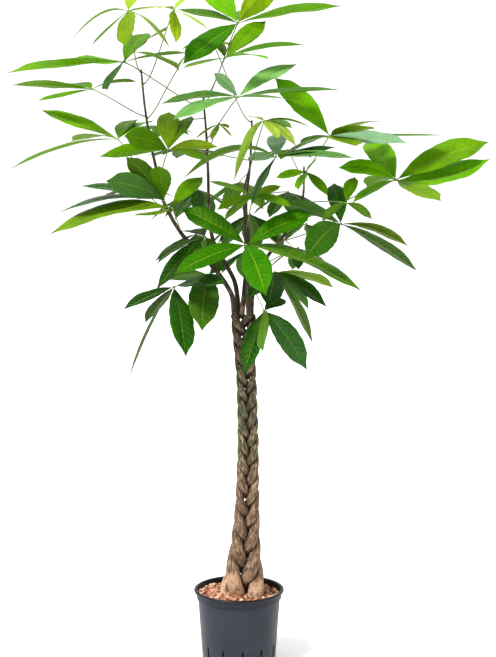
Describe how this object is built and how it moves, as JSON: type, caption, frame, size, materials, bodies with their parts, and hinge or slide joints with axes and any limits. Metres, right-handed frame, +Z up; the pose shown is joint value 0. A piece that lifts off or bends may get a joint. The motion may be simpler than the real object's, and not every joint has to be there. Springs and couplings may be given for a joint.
{
  "type": "potted money tree",
  "caption": "Tall money tree of five braided stems with palmate leaves on long stalks, standing in a round culture pot filled with clay granules.",
  "frame": {"origin": "middle of the pot's underside, on the surface it stands on", "axes": "+Z up the trunk, -Y towards the front that the picture shows, +X to the right as seen in the picture"},
  "size_m": [1.14, 0.7301, 1.6668],
  "materials": {
    "pot_plastic": "slate blue-grey moulded polypropylene, satin",
    "baked_clay": "unglazed terracotta granules, matt",
    "bark": "smooth tan bark with lenticels, greener higher up",
    "leaf_young": "fresh yellow-green young leaf, soft sheen",
    "leaf_bright": "bright green leaf, waxy sheen",
    "leaf_mid": "mid green leaf, waxy sheen",
    "leaf_dark": "dark green mature leaf, glossy"
  },
  "bodies": {
    "root": {"pot": "pot_plastic", "clay_granules": "baked_clay", "stem_middle": "bark", "stem_crown": "bark", "stem_right": "bark", "stem_back": "bark", "stem_left": "bark", "leaf_crown_left": "leaf_young", "leaf_crown_small": "leaf_young", "leaf_left_high": "leaf_mid", "leaf_left_reaching": "leaf_dark", "leaf_left_inner": "leaf_mid", "leaf_crown_top": "leaf_young", "leaf_crown_right": "leaf_mid", "leaf_centre_high": "leaf_mid", "leaf_centre_young": "leaf_young", "leaf_centre_bud": "leaf_young", "leaf_right_high": "leaf_mid", "leaf_centre_grey": "leaf_dark", "leaf_right_far": "leaf_mid", "leaf_left_broad": "leaf_mid", "leaf_left_far": "leaf_mid", "leaf_left_dark": "leaf_dark", "leaf_left_olive": "leaf_mid", "leaf_right_dark": "leaf_dark", "leaf_front_bright": "leaf_bright", "leaf_low_left": "leaf_dark", "leaf_low_left_broad": "leaf_mid", "leaf_low_over_trunk": "leaf_dark", "leaf_low_right": "leaf_dark", "leaf_right_inner": "leaf_young", "leaf_right_hanging": "leaf_mid", "leaf_foot_left": "leaf_dark", "leaf_centre_narrow": "leaf_mid", "leaf_rear_crown": "leaf_young", "leaf_rear_left_high": "leaf_mid", "leaf_rear_left_back": "leaf_dark", "leaf_rear_middle": "leaf_mid", "leaf_rear_right_high": "leaf_mid", "leaf_rear_left_low": "leaf_dark", "leaf_rear_right_mid": "leaf_dark", "leaf_rear_left_mid": "leaf_dark", "leaf_rear_right_low": "leaf_dark", "leaf_rear_low_middle": "leaf_dark", "leaf_rear_low_left": "leaf_dark", "leaf_rear_low_right": "leaf_dark", "leaf_rear_lowest": "leaf_dark"}
  },
  "joints": []
}
